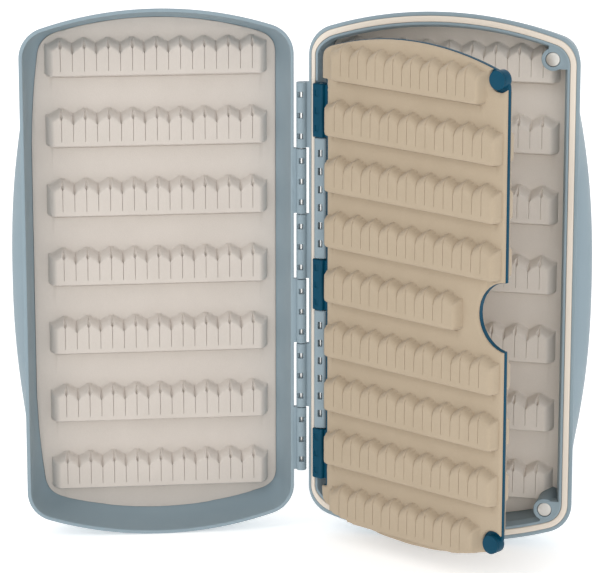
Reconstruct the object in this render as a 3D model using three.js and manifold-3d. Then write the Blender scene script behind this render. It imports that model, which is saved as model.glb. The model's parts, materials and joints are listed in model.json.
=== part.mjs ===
// An open fly box for fishing flies: a base tray and a lid tray on one long pinned hinge, slotted foam mats in
// both, a water seal round the base rim, and a hinged leaf that carries a slotted mat on each face.
// Millimetres, +Z up. Dimensions are taken from the main hinge's axis at half height: X runs from the hinge
// across the base and Y from the base's open side to its back. The box stands open on its lower ends.
import * as THREE from "three";
import { mergeVertices } from "three/addons/utils/BufferGeometryUtils.js";
import Module from "manifold-3d";

const wasm = await Module();
wasm.setup();

// ---- driving dimensions ----
const clearance = 0.3; // kept between pieces that touch
const partingGap = 0.15; // from the hinge axis plane to each rim
const lidOpening = 20.5; // degrees short of lying flat
const leafOpening = 28.2; // degrees out of the base

const shell = {
  left: 2.6, right: 101.5, halfLength: 98.5, arcRadius: 134, corner: 11.5,
  depth: 19, floor: 17.2, gripHalfLength: 54, gripPower: 2.3,
};
const rim = { outer: 1.5, hingeOuter: 1.05, sealInner: 3.8, hingeSealInner: 2.6, inner: 4.8, ledge: 3.2, grooveDepth: 2 };
const mainHinge = { top: 71, bottom: -75.2, knuckles: 6, radius: 1.9, bore: 1.1, pin: 0.8, windows: 3, windowPitch: 8.1 };
const leafHinge = {
  x: 7.6, y: -1.2, radius: 2.6, bore: 1, pin: 0.7, top: 71.3, bottom: -77.3,
  strips: [[51.1, 6.4], [-13.1, -57.8]], stripLeft: 5.35, stripRight: 10, stripFront: -2.9, stripBack: 3.2,
  windows: 6, windowPitch: 6.7,
};
const windowSize = { width: 1.6, height: 2.3 };
const leaf = {
  left: 2, right: 87.2, halfLength: 92.2, arcRadius: 127.6, corner: 6.5, centre: -0.6,
  halfThickness: 0.8, hingeEdge: 3.5, notchX: 88.2, notchRadius: 12.5, notchZ: -0.7,
};
const magnet = { x: 91.4, upper: 83, lower: -83.6, radius: 2.55, thickness: 2, postRadius: 4.1, bossRadius: 3.6 };
const bossFace = 3.4; // the leaf's magnet cap stands this far in front of the leaf's middle plane
const shellMat = { inset: 5.7, face: 15.5, back: 16.7, ridge: 4.5, firstRow: 71.7, rowPitch: 25.95, rows: 7 };
const shellSlits = { start: 16.7, peaks: 9, pitch: 4.34 };
const leafMat = { inset: 0.6, back: 1.3, face: 2, ridge: 3.8, firstRow: 74, rowPitch: 20.45, rows: 9 };
const leafSlits = { start: 11.6, peaks: 9, pitch: 4.25 };
const leafShortSlits = { start: 14.4, peaks: 8, pitch: 4.1 };
const ridgeOutline = { peak: 14, valley: 11.2, shoulder: 8.6, overhang: 3.2, foot: 1.4 };
const adhesive = { thickness: 0.2, gap: 0.075, inset: 1.5 };
const faceting = { corner: 3, round: 8, grip: 10 };

const radians = THREE.MathUtils.degToRad;

// ---- solids ----
function solid(geometry) {
  geometry.deleteAttribute("normal");
  geometry.deleteAttribute("uv");
  const merged = mergeVertices(geometry, 1e-4);
  return new wasm.Manifold(
    new wasm.Mesh({
      numProp: 3,
      vertProperties: merged.attributes.position.array,
      triVerts: new Uint32Array(merged.index.array),
    }),
  );
}

function box(x0, x1, y0, y1, z0, z1) {
  const geometry = new THREE.BoxGeometry(x1 - x0, y1 - y0, z1 - z0);
  return solid(geometry.translate((x0 + x1) / 2, (y0 + y1) / 2, (z0 + z1) / 2));
}

// A flat outline in X and Z carried from yFront to yBack.
function slab(shape, yFront, yBack) {
  const geometry = new THREE.ExtrudeGeometry(shape, {
    depth: yBack - yFront, bevelEnabled: false, curveSegments: faceting.corner,
  });
  return solid(geometry.rotateX(Math.PI / 2).translate(0, yBack, 0));
}

// A round bar along Z.
function bar(x, y, radius, z0, z1, sides = 2 * faceting.round) {
  const geometry = new THREE.CylinderGeometry(radius, radius, z1 - z0, sides);
  return solid(geometry.rotateX(Math.PI / 2).translate(x, y, (z0 + z1) / 2));
}

// A round disc or bore along Y.
function disc(x, z, radius, y0, y1, sides = 2 * faceting.round) {
  const geometry = new THREE.CylinderGeometry(radius, radius, y1 - y0, sides);
  return solid(geometry.translate(x, (y0 + y1) / 2, z));
}

// The tray's outline: straight sides, bowed ends and round corners, drawn in by an inset. The side away from
// the hinge can swell into the finger grip.
function outline(plate, inset, grip = 0) {
  const corner = plate.corner - inset;
  const arc = plate.arcRadius - inset;
  const middle = (plate.left + plate.right) / 2;
  const arcZ = plate.halfLength - plate.arcRadius;
  const cornerX = plate.right - plate.corner;
  const reach = plate.arcRadius - plate.corner;
  const cornerZ = arcZ + Math.sqrt(reach ** 2 - (cornerX - middle) ** 2);
  const tilt = Math.asin((cornerX - middle) / reach);
  const quarter = Math.PI / 2;
  const shape = new THREE.Shape();
  shape.moveTo(plate.right - inset, -cornerZ);
  for (let i = 0; grip > 0 && i <= faceting.grip; i++) {
    const t = (2 * i) / faceting.grip - 1;
    const swell = grip * (1 - Math.abs(t) ** shell.gripPower);
    shape.lineTo(plate.right - inset + swell, t * shell.gripHalfLength);
  }
  shape.lineTo(plate.right - inset, cornerZ);
  shape.absarc(cornerX, cornerZ, corner, 0, quarter - tilt);
  shape.absarc(middle, arcZ, arc, quarter - tilt, quarter + tilt);
  shape.absarc(2 * middle - cornerX, cornerZ, corner, quarter + tilt, 2 * quarter);
  shape.lineTo(plate.left + inset, -cornerZ);
  shape.absarc(2 * middle - cornerX, -cornerZ, corner, 2 * quarter, 3 * quarter - tilt);
  shape.absarc(middle, -arcZ, arc, 3 * quarter - tilt, 3 * quarter + tilt);
  shape.absarc(cornerX, -cornerZ, corner, 3 * quarter + tilt, 4 * quarter);
  return shape;
}

// A tray form: the outline at each station {inset, grip, y}, joined by straight walls and closed at both ends.
function loft(plate, stations) {
  const rings = stations.map(({ inset, grip, y }) => {
    const drawn = outline(plate, inset, grip).getPoints(faceting.corner);
    const points = drawn.filter((p, i) => p.distanceTo(drawn.at(i - 1)) > 1e-6);
    return { y, points };
  });
  const count = rings[0].points.length;
  const positions = rings.flatMap(({ y, points }) => points.flatMap((p) => [p.x, y, p.y]));
  const index = [];
  for (let k = 0; k + 1 < rings.length; k++) {
    for (let i = 0; i < count; i++) {
      const j = (i + 1) % count;
      const [a, b, c, d] = [k * count + i, (k + 1) * count + i, (k + 1) * count + j, k * count + j];
      index.push(a, b, c, a, c, d);
    }
  }
  const last = (rings.length - 1) * count;
  for (const [a, b, c] of THREE.ShapeUtils.triangulateShape(rings[0].points, [])) index.push(a, b, c);
  for (const [a, b, c] of THREE.ShapeUtils.triangulateShape(rings.at(-1).points, [])) {
    index.push(last + c, last + b, last + a);
  }
  const geometry = new THREE.BufferGeometry();
  geometry.setAttribute("position", new THREE.Float32BufferAttribute(positions, 3));
  geometry.setIndex(index);
  return solid(geometry);
}

const join = (solids) => solids.reduce((a, b) => a.add(b));

// ---- trays ----
const trayOutside = [
  { inset: 0, grip: 0.01, y: partingGap },
  { inset: 0, grip: 0.4, y: 4 },
  { inset: 0, grip: 3, y: 7.5 },
  { inset: 0, grip: 4.3, y: 11 },
  { inset: 0, grip: 4.2, y: 14 },
  { inset: 0.15, grip: 3, y: 16.4 },
  { inset: 1, grip: 1.8, y: 18.2 },
  { inset: 2.8, grip: 1.2, y: shell.depth },
];
const overcut = partingGap - 1;
const lidInside = [
  { inset: 1.9, y: overcut }, { inset: 2.2, y: 13.5 }, { inset: 3.2, y: 16.4 }, { inset: 4.8, y: shell.floor },
];
const baseInside = [
  { inset: rim.inner, y: overcut }, { inset: rim.inner, y: 0.8 }, { inset: 6, y: rim.ledge }, { inset: 2.4, y: 5.2 },
  { inset: 2.6, y: 13.5 }, { inset: 3.3, y: 16.4 }, { inset: 4.8, y: shell.floor },
];

const knuckleLength = (mainHinge.top - mainHinge.bottom) / mainHinge.knuckles;
const knuckleSpans = Array.from({ length: mainHinge.knuckles }, (_, i) => {
  const top = mainHinge.top - i * knuckleLength;
  return [top - knuckleLength, top];
});

// Hinge knuckles stand on the tray's rim edge and show the pin through small windows.
function withKnuckles(tray, spans) {
  const wall = shell.left + 0.6;
  let knuckles = tray;
  for (const [low, high] of spans) {
    const z0 = low + clearance / 2;
    const z1 = high - clearance / 2;
    knuckles = knuckles.add(bar(0, 0, mainHinge.radius, z0, z1)).add(box(0, wall, partingGap, 2.6, z0, z1));
  }
  const end = 0.9; // closed ends keep the pin in
  knuckles = knuckles.subtract(bar(0, 0, mainHinge.bore, mainHinge.bottom + end, mainHinge.top - end));
  for (const [low, high] of spans) {
    for (let i = 0; i < mainHinge.windows; i++) {
      const z = (low + high) / 2 + (i - (mainHinge.windows - 1) / 2) * mainHinge.windowPitch;
      const half = windowSize.width / 2;
      const tall = windowSize.height / 2;
      knuckles = knuckles.subtract(box(-half, half, -3, -0.4, z - tall, z + tall));
    }
  }
  return knuckles;
}

function lidTray() {
  const tray = loft(shell, trayOutside).subtract(loft(shell, lidInside));
  return withKnuckles(tray, knuckleSpans.filter((_, i) => i % 2 === 1));
}

const straight = 78; // the seal runs straight along the hinge for this far from the middle

// The region inside the seal groove's outer or inner wall; it steps out along the hinge.
function grooveRegion(inset, hingeInset, reach, y0, y1) {
  const region = slab(outline(shell, inset), y0, y1);
  return region.add(box(shell.left + hingeInset, 20, y0, y1, -reach, reach));
}

// The band between the groove's two walls, drawn in from both by a gap.
function sealBand(gap, y0, y1) {
  const outer = grooveRegion(rim.outer + gap, rim.hingeOuter + gap, straight - gap, y0, y1);
  const inner = grooveRegion(rim.sealInner - gap, rim.hingeSealInner - gap, straight + gap, y0 - 1, y1 + 1);
  return outer.subtract(inner);
}

const postTop = 0.4;

// A magnet's post stands in the tray's corner and is tied to the rim's inner lip both ways.
function magnetPost(z) {
  const top = postTop;
  const side = Math.sign(z);
  const post = disc(magnet.x, z, magnet.postRadius, top, shell.floor + 0.5);
  const toCorner = box(magnet.x - 1, magnet.x + 6, top, 3, z - 1.2, z + 1.2);
  const toEnd = box(magnet.x - 1.2, magnet.x + 1.2, top, 3, Math.min(z, z + 7 * side), Math.max(z, z + 7 * side));
  return post.add(toCorner).add(toEnd).intersect(slab(outline(shell, rim.sealInner + 0.3), 0, shell.depth));
}

function baseTray() {
  let tray = loft(shell, trayOutside).subtract(loft(shell, baseInside));
  const grooveFloor = partingGap + rim.grooveDepth;
  tray = tray.subtract(sealBand(0, overcut, grooveFloor));
  for (const z of [magnet.upper, magnet.lower]) tray = tray.add(magnetPost(z));
  for (const z of [magnet.upper, magnet.lower]) {
    const pocket = disc(magnet.x, z, magnet.radius + clearance, -1, postTop + magnet.thickness + 2 * clearance);
    tray = tray.subtract(pocket);
  }
  // The leaf's hinge: two pierced strips carry the pin, and three pockets leave room for the leaf's clips.
  const { x, y, strips, stripLeft, stripRight, stripFront, stripBack } = leafHinge;
  const clipRoom = bar(x, y, leafHinge.radius + clearance, leafHinge.bottom - clearance, leafHinge.top + clearance);
  tray = tray.subtract(clipRoom);
  for (const [high, low] of strips) {
    tray = tray.add(box(stripLeft, stripRight, stripFront, stripBack, low, high));
  }
  tray = tray.subtract(bar(x, y, leafHinge.bore, leafHinge.bottom, leafHinge.top));
  for (const [high, low] of strips) {
    for (let i = 0; i < leafHinge.windows; i++) {
      const z = (low + high) / 2 + (i - (leafHinge.windows - 1) / 2) * leafHinge.windowPitch;
      const half = windowSize.width / 2;
      const tall = windowSize.height / 2;
      tray = tray.subtract(box(x - half, x + half, stripFront - 1, y - 0.3, z - tall, z + tall));
    }
  }
  return withKnuckles(tray, knuckleSpans.filter((_, i) => i % 2 === 0));
}

// ---- mats ----
// One raised row of slots seen from the front: a straight foot, sloping ends and a scalloped top.
function rowShape({ start, peaks, pitch }) {
  const end = start + 2 * (peaks - 1) * pitch;
  const { peak, valley, shoulder, overhang, foot } = ridgeOutline;
  const shape = new THREE.Shape();
  shape.moveTo(start - overhang + foot, 0);
  shape.lineTo(end + overhang - foot, 0);
  shape.lineTo(end + overhang, foot);
  shape.lineTo(end + overhang, shoulder);
  for (let i = 2 * (peaks - 1); i >= 0; i--) shape.lineTo(start + i * pitch, i % 2 ? valley : peak);
  shape.lineTo(start - overhang, shoulder);
  shape.lineTo(start - overhang, foot);
  shape.closePath();
  return shape;
}

// The foam faces -Y: its rows stand out from y = face towards y = face - ridge.
function slottedMat(sheet, face, ridge, rows) {
  let mat = sheet;
  for (const { slits, z } of rows) {
    const geometry = new THREE.ExtrudeGeometry(rowShape(slits), { depth: ridge + 0.4, bevelEnabled: false });
    mat = mat.add(solid(geometry.rotateX(Math.PI / 2).translate(0, face + 0.4, z)));
  }
  return mat;
}

const shellRows = Array.from({ length: shellMat.rows }, (_, i) => ({
  slits: shellSlits, z: shellMat.firstRow - i * shellMat.rowPitch,
}));
const lidMat = () => slottedMat(
  slab(outline(shell, shellMat.inset), shellMat.face, shellMat.back), shellMat.face, shellMat.ridge, shellRows);

function clearOfPosts(mat) {
  const room = magnet.postRadius + clearance;
  const cut = (z) => disc(magnet.x, z, room, 0, shell.depth)
    .add(box(magnet.x, magnet.x + 12, 0, shell.depth, z > 0 ? z - room : z - 12, z > 0 ? z + 12 : z + room))
    .add(box(magnet.x - room, magnet.x, 0, shell.depth, z > 0 ? z : z - 12, z > 0 ? z + 12 : z));
  return mat.subtract(cut(magnet.upper)).subtract(cut(magnet.lower));
}

const adhesiveSheet = (inset) =>
  slab(outline(shell, inset), shellMat.back + adhesive.gap, shellMat.back + adhesive.gap + adhesive.thickness);

// ---- leaf, in its own frame: X from its hinge pin to its free edge, Y to its back face ----
const leafMagnetX = magnet.x - leafHinge.x;

function leafPlate(inset, y0, y1, hingeEdge) {
  let plate = slab(outline(leaf, inset), y0, y1).translate([0, 0, leaf.centre]);
  plate = plate.subtract(disc(leaf.notchX, leaf.notchZ, leaf.notchRadius + inset, y0 - 1, y1 + 1, 4 * faceting.round));
  const hingeRoom = box(-5, hingeEdge, y0 - 1, y1 + 1, leafHinge.bottom - 2.2, leafHinge.top + 2.2);
  return plate.subtract(hingeRoom);
}

const clipSpans = [
  [leafHinge.strips[0][0], leafHinge.top],
  [leafHinge.strips[1][0], leafHinge.strips[0][1]],
  [leafHinge.bottom, leafHinge.strips[1][1]],
];

function leafFrame() {
  const half = leaf.halfThickness;
  let frame = leafPlate(0, -half, half, leaf.hingeEdge);
  for (const [low, high] of clipSpans) {
    const z0 = low + clearance;
    const z1 = high - clearance;
    frame = frame.add(bar(0, 0, leafHinge.radius, z0, z1)).add(box(0, leaf.hingeEdge + 1, -half, half, z0, z1));
  }
  frame = frame.subtract(bar(0, 0, leafHinge.bore, leafHinge.bottom - 1, leafHinge.top + 1));
  const capThickness = 0.7;
  for (const z of [magnet.upper, magnet.lower]) {
    frame = frame.add(disc(leafMagnetX, z, magnet.bossRadius, -bossFace + capThickness + clearance, half));
  }
  for (const z of [magnet.upper, magnet.lower]) {
    frame = frame.subtract(disc(leafMagnetX, z, magnet.radius + clearance, -bossFace, half - 0.7));
  }
  return frame;
}

const leafRows = Array.from({ length: leafMat.rows }, (_, i) => {
  const short = i === 0 || i === leafMat.rows - 1 || i === (leafMat.rows - 1) / 2;
  const z = leafMat.firstRow - i * leafMat.rowPitch;
  if (i === (leafMat.rows - 1) / 2) return { z, slits: { ...leafSlits, peaks: 7 } };
  return { z, slits: short ? leafShortSlits : leafSlits };
});

// The front mat faces -Y; the back mat is the same foam turned to face +Y. The rows end where the sheet ends.
function leafFoam() {
  const sheetOver = (y0, y1) => leafPlate(leafMat.inset, y0, y1, leaf.hingeEdge + 1.2);
  const sheet = sheetOver(-leafMat.face, -leafMat.back);
  let mat = slottedMat(sheet, -leafMat.face, leafMat.ridge, leafRows).intersect(sheetOver(-9, 0));
  for (const z of [magnet.upper, magnet.lower]) {
    mat = mat.subtract(disc(leafMagnetX, z, magnet.postRadius + 2 * clearance, -9, 0));
  }
  const corner = leafMagnetX + 2;
  for (const z of [magnet.upper, magnet.lower]) {
    mat = mat.subtract(box(corner, corner + 6, -9, 0, Math.min(z, z + 12 * Math.sign(z)), Math.max(z, z + 12 * Math.sign(z))));
  }
  return mat;
}

const leafAdhesive = () =>
  leafPlate(adhesive.inset + leafMat.inset, -leafMat.back + adhesive.gap, -leafMat.back + adhesive.gap + adhesive.thickness,
    leaf.hingeEdge + 2.5)
    .subtract(disc(leafMagnetX, magnet.upper, 6.5, -9, 9))
    .subtract(disc(leafMagnetX, magnet.lower, 6.5, -9, 9));

// ---- meshes ----
const finish = (color, roughness, metalness = 0) => ({ color, roughness, metalness });
const finishes = {
  shell: finish(0x8ba5b2, 0.42),
  lidFoam: finish(0xd5cdc4, 0.9),
  baseFoam: finish(0xc9c1b8, 0.9),
  leafFoam: finish(0xb8a88e, 0.9),
  leafFrame: finish(0x16506a, 0.45),
  seal: finish(0xe2d6ca, 0.7),
  steel: finish(0xc8c9ca, 0.3, 0.9),
  magnet: finish(0xb4b2ae, 0.4, 0.8),
  adhesive: finish(0xe6e2d6, 0.6),
};

// mirrored turns a tray piece over to the other side of the hinge; flipped turns a leaf piece to the back face.
function meshOf(name, made, look, { mirrored = false, flipped = false } = {}) {
  const raw = made.getMesh();
  const positions = new Float32Array(raw.numVert * 3);
  for (let i = 0; i < raw.numVert; i++) {
    positions.set(raw.vertProperties.subarray(i * raw.numProp, i * raw.numProp + 3), i * 3);
  }
  const index = raw.triVerts.slice();
  if (mirrored || flipped) {
    for (let i = 0; i < positions.length; i += 3) positions[i + (mirrored ? 0 : 1)] *= -1;
    for (let i = 0; i < index.length; i += 3) [index[i + 1], index[i + 2]] = [index[i + 2], index[i + 1]];
  }
  const geometry = new THREE.BufferGeometry();
  geometry.setAttribute("position", new THREE.BufferAttribute(positions, 3));
  geometry.setIndex(new THREE.BufferAttribute(index, 1));
  geometry.computeVertexNormals();
  const mesh = new THREE.Mesh(geometry, new THREE.MeshStandardMaterial(look));
  mesh.name = name;
  return mesh;
}

const base = new THREE.Group();
const lid = new THREE.Group();
const leafGroup = new THREE.Group();
const root = new THREE.Group();

const mirrored = { mirrored: true };
const flipped = { flipped: true };
base.add(
  meshOf("base_shell", baseTray(), finishes.shell),
  meshOf("base_mat", clearOfPosts(slottedMat(
    slab(outline(shell, shellMat.inset), shellMat.face, shellMat.back), shellMat.face, shellMat.ridge, shellRows,
  )), finishes.baseFoam),
  meshOf("base_mat_adhesive", clearOfPosts(adhesiveSheet(shellMat.inset + adhesive.inset)), finishes.adhesive),
  meshOf("rim_seal", sealBand(clearance / 2, partingGap, partingGap + rim.grooveDepth - clearance), finishes.seal),
  meshOf("main_hinge_pin", bar(0, 0, mainHinge.pin, mainHinge.bottom + 1.2, mainHinge.top - 1.2), finishes.steel),
  meshOf("leaf_hinge_pin", bar(leafHinge.x, leafHinge.y, leafHinge.pin, leafHinge.bottom + 0.6, leafHinge.top - 0.6),
    finishes.steel),
);
const baseMagnetFront = postTop + clearance;
for (const [name, z] of [["base_magnet_upper", magnet.upper], ["base_magnet_lower", magnet.lower]]) {
  base.add(meshOf(name, disc(magnet.x, z, magnet.radius, baseMagnetFront, baseMagnetFront + magnet.thickness),
    finishes.magnet));
}

lid.add(
  meshOf("lid_shell", lidTray(), finishes.shell, mirrored),
  meshOf("lid_mat", lidMat(), finishes.lidFoam, mirrored),
  meshOf("lid_mat_adhesive", adhesiveSheet(shellMat.inset + adhesive.inset), finishes.adhesive, mirrored),
);
lid.rotation.z = radians(lidOpening);

leafGroup.add(
  meshOf("leaf_frame", leafFrame(), finishes.leafFrame),
  meshOf("leaf_front_mat", leafFoam(), finishes.leafFoam),
  meshOf("leaf_back_mat", leafFoam(), finishes.leafFoam, flipped),
  meshOf("leaf_front_adhesive", leafAdhesive(), finishes.adhesive),
  meshOf("leaf_back_adhesive", leafAdhesive(), finishes.adhesive, flipped),
);
const leafMagnetBack = leaf.halfThickness - 0.7 - clearance;
for (const [suffix, z] of [["upper", magnet.upper], ["lower", magnet.lower]]) {
  leafGroup.add(
    meshOf("leaf_magnet_" + suffix, disc(leafMagnetX, z, magnet.radius, leafMagnetBack - magnet.thickness, leafMagnetBack),
      finishes.magnet),
    meshOf("leaf_magnet_cap_" + suffix, disc(leafMagnetX, z, magnet.bossRadius, -bossFace, -bossFace + 0.7),
      finishes.leafFrame),
  );
}
leafGroup.position.set(leafHinge.x, leafHinge.y, 0);
leafGroup.rotation.z = radians(-leafOpening);

root.add(base, lid, leafGroup);

// The origin is under the middle of the open box, on the surface that it stands on.
root.updateMatrixWorld(true);
const bounds = new THREE.Box3().setFromObject(root, true);
const middle = bounds.getCenter(new THREE.Vector3());
root.position.set(-middle.x, -middle.y, -bounds.min.z);

export default root;
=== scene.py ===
import json
import bpy
import numpy as np
from mathutils import Euler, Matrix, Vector


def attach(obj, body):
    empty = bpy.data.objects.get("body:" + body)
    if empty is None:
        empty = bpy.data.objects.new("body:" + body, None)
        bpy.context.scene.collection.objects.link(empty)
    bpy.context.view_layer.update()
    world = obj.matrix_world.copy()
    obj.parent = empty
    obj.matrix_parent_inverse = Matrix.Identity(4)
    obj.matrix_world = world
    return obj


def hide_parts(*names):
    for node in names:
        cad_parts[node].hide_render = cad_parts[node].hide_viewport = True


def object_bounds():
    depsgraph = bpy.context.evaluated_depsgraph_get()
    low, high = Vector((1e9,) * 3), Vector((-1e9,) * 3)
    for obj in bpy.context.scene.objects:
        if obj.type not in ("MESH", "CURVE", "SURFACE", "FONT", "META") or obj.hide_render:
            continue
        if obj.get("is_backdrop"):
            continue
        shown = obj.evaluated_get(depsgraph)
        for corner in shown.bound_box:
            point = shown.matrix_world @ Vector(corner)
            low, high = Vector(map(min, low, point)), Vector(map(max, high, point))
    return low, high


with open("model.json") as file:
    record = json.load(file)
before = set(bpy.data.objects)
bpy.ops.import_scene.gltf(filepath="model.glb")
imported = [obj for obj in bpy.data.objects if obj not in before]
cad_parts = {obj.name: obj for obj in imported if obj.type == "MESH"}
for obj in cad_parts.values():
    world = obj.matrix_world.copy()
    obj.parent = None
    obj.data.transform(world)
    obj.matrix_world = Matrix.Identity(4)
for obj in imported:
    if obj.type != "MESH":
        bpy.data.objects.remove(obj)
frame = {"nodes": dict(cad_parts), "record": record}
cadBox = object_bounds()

print("frame loaded:", len(frame["nodes"]), "nodes")

# the camera: place in millimetres, turn and pitch in degrees, focal length and shifts as shares of imageWidth
cameraView = dict(
    place=(284.7, -1102.6, 385.1), turn=14.35, pitch=14.2, focal=3247.7, imageWidth=600, right=-1.9, up=-0.8)


def makeCamera(view):
    # lens = focal length in image widths times the sensor width
    data = bpy.data.cameras.new("viewCamera")
    data.sensor_width = 36.0
    data.lens = view["focal"] / view["imageWidth"] * data.sensor_width
    data.shift_x = view["right"] / view["imageWidth"]
    data.shift_y = view["up"] / view["imageWidth"]
    data.clip_start, data.clip_end = 0.05, 20.0
    camera = bpy.data.objects.new("viewCamera", data)
    bpy.context.scene.collection.objects.link(camera)
    camera.location = Vector(view["place"]) / 1000
    camera.rotation_euler = Euler(np.radians((90 - view["pitch"], 0, view["turn"])))
    bpy.context.scene.camera = camera


makeCamera(cameraView)
print("camera set")

# where the three bodies stand; lengths below are millimetres from the main hinge's axis at half height
joints = {j["name"]: j for j in frame["record"]["behaviour"]["joints"]}
hingeAt = np.array(joints["lid_hinge"]["pos_m"]) * 1000
leafAt = np.array(joints["leaf_hinge"]["pos_m"]) * 1000
lidTurn = np.radians(180 - joints["lid_hinge"]["range_deg"][1])
leafTurn = -np.radians(joints["leaf_hinge"]["range_deg"][1])


def turned(points, angle):
    # rotation about the vertical: x' = x cos a - y sin a, y' = x sin a + y cos a
    c, s = np.cos(angle), np.sin(angle)
    x, y, z = points.T
    return np.stack([c * x - s * y, s * x + c * y, z], axis=1)


def placed(points, body):
    # a body's own millimetres to metres in the frame; the lid is the base's drawing mirrored, then turned
    if body == "lid":
        return (turned(points * (-1, 1, 1), lidTurn) + hingeAt) / 1000
    if body == "leaf":
        return (turned(points, leafTurn) + leafAt) / 1000
    return (points + hingeAt) / 1000


def facesPointOut(points, faces):
    # six times the signed volume: each face is fanned into triangles and a . (b x c) is summed
    total = 0.0
    for f in faces:
        a = points[f[:, 0]]
        for k in range(1, f.shape[1] - 1):
            total += np.einsum("ij,ij->i", a, np.cross(points[f[:, k]], points[f[:, k + 1]])).sum()
    return total > 0


def smooth(mesh, sharp):
    # every face is shaded smooth, and an edge stays sharp past this angle in degrees
    mesh.polygons.foreach_set("use_smooth", np.ones(len(mesh.polygons), bool))
    mesh.set_sharp_from_angle(angle=np.radians(sharp))


def solidMesh(name, points, faces, body, sharp=32):
    # a closed mesh object from points and face arrays, turned outwards if it came inside out
    points = placed(np.asarray(points, float), body)
    if not facesPointOut(points - points.mean(axis=0), faces):
        faces = [f[:, ::-1] for f in faces]
    mesh = bpy.data.meshes.new(name)
    mesh.vertices.add(len(points))
    mesh.vertices.foreach_set("co", points.astype(np.float32).ravel())
    loops = np.concatenate([f.ravel() for f in faces]).astype(np.int32)
    sizes = np.concatenate([np.full(len(f), f.shape[1]) for f in faces])
    mesh.loops.add(len(loops))
    mesh.loops.foreach_set("vertex_index", loops)
    mesh.polygons.add(len(sizes))
    starts = np.concatenate([[0], np.cumsum(sizes)[:-1]])
    mesh.polygons.foreach_set("loop_start", starts.astype(np.int32))
    mesh.update(calc_edges=True)
    smooth(mesh, sharp)
    piece = bpy.data.objects.new(name, mesh)
    bpy.context.scene.collection.objects.link(piece)
    return piece


def stacked(rings, at, axis="y"):
    # rings of (u, v) stood at heights along an axis: u, v are x, z along y; x, y along z
    rings = np.asarray(rings, float)
    at = np.broadcast_to(np.asarray(at, float)[:, None], rings.shape[:2])
    u, v = rings[..., 0], rings[..., 1]
    return np.stack((u, at, v) if axis == "y" else (u, v, at), axis=-1)


def closedLoft(name, rings, body, sharp=32):
    # rings (m, n, 3): quads join each ring to the next, and a fan to its middle closes each end
    m, n = rings.shape[:2]
    points = np.concatenate([rings.reshape(-1, 3), rings[:1].mean(axis=1), rings[-1:].mean(axis=1)])
    i = np.arange(n)
    j = (i + 1) % n
    k = np.arange(m - 1)[:, None] * n
    quads = np.stack([k + i, k + j, k + n + j, k + n + i], axis=-1).reshape(-1, 4)
    first = np.stack([np.full(n, m * n), j, i], axis=1)
    last = np.stack([np.full(n, m * n + 1), (m - 1) * n + i, (m - 1) * n + j], axis=1)
    return solidMesh(name, points, [quads, first, last], body, sharp)


def ringTube(name, sections, body, sharp=32):
    # sections (m, n, 3): m closed rings in order round a band's section, the last joined back to the first
    m, n = sections.shape[:2]
    i = np.arange(n)
    j = (i + 1) % n
    k = np.arange(m)[:, None]
    a, b = k * n, ((k + 1) % m) * n
    quads = np.stack([a + i, a + j, b + j, b + i], axis=-1).reshape(-1, 4)
    return solidMesh(name, sections.reshape(-1, 3), [quads], body, sharp)


def combine(piece, tool, operation, sharp=32):
    # one boolean, applied at once; the tool is used up
    cut = piece.modifiers.new("cut", "BOOLEAN")
    cut.object, cut.operation, cut.solver = tool, operation, "MANIFOLD"
    graph = bpy.context.evaluated_depsgraph_get()
    graph.update()
    made = bpy.data.meshes.new_from_object(piece.evaluated_get(graph))
    piece.modifiers.clear()
    old, piece.data = piece.data, made
    made.name = piece.name
    bpy.data.meshes.remove(old)
    spent = tool.data
    bpy.data.objects.remove(tool)
    bpy.data.meshes.remove(spent)
    smooth(made, sharp)
    if not len(made.polygons):
        raise RuntimeError(piece.name + " came out empty")
    return piece


def joined(piece, tools):
    # the piece with each tool added to it
    for tool in tools:
        combine(piece, tool, "UNION")
    return piece


def without(piece, tools, sharp=32):
    # the piece with each tool cut out of it
    for tool in tools:
        combine(piece, tool, "DIFFERENCE", sharp)
    return piece


def roundedRect(centre, half, radius, inset=0.0, steps=10):
    # four quarter circles, each centred a radius in from its corner, all drawn in by an inset
    cx, cy = centre
    hx, hy = half[0] - inset, half[1] - inset
    r = max(min(radius, *half) - inset, 0.02)
    a = np.linspace(0, np.pi / 2, steps)
    quarter = np.stack([np.cos(a), np.sin(a)], axis=1) * r
    parts = []
    for k, (sx, sy) in enumerate([(1, 1), (-1, 1), (-1, -1), (1, -1)]):
        arc = quarter if k % 2 == 0 else quarter[::-1]  # every second one reversed, so that the ring runs on
        parts.append(arc * (sx, sy) + (cx + sx * (hx - r), cy + sy * (hy - r)))
    return np.concatenate(parts)


def roundedBlock(name, centre, half, radius, span, body, axis="z", edge=0.25, sharp=32):
    # a rounded section carried along an axis; near both ends it draws in by a quarter circle of radius edge
    low, high = span
    a = np.linspace(0, np.pi / 2, 5)
    insets = np.concatenate([edge * (1 - np.sin(a)), edge * (1 - np.cos(a))])
    at = np.concatenate([low + edge * (1 - np.cos(a)), high - edge + edge * np.sin(a)])
    rings = [roundedRect(centre, half, radius, i) for i in insets]
    return closedLoft(name, stacked(rings, at, axis), body, sharp)


def roundBar(name, centre, radius, span, body, axis="z", edge=0.25, sharp=32):
    # a rounded block whose section is a full circle
    return roundedBlock(name, centre, (radius, radius), radius, span, body, axis, edge, sharp)


def boxBlock(name, low, high, radius, span, body, axis="z", edge=0.25):
    # a rounded block by two corners of its section: centre (low + high) / 2, half (high - low) / 2
    low, high = np.array(low), np.array(high)
    return roundedBlock(name, (low + high) / 2, (high - low) / 2, radius, span, body, axis, edge)


cutEdge = 0.02  # a cutting tool's own edges are all but square


def slotCutter(name, centre, half, radius, span, body):
    # a tool of rounded section that cuts along y
    return roundedBlock(name, centre, half, radius, span, body, "y", cutEdge)


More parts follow.
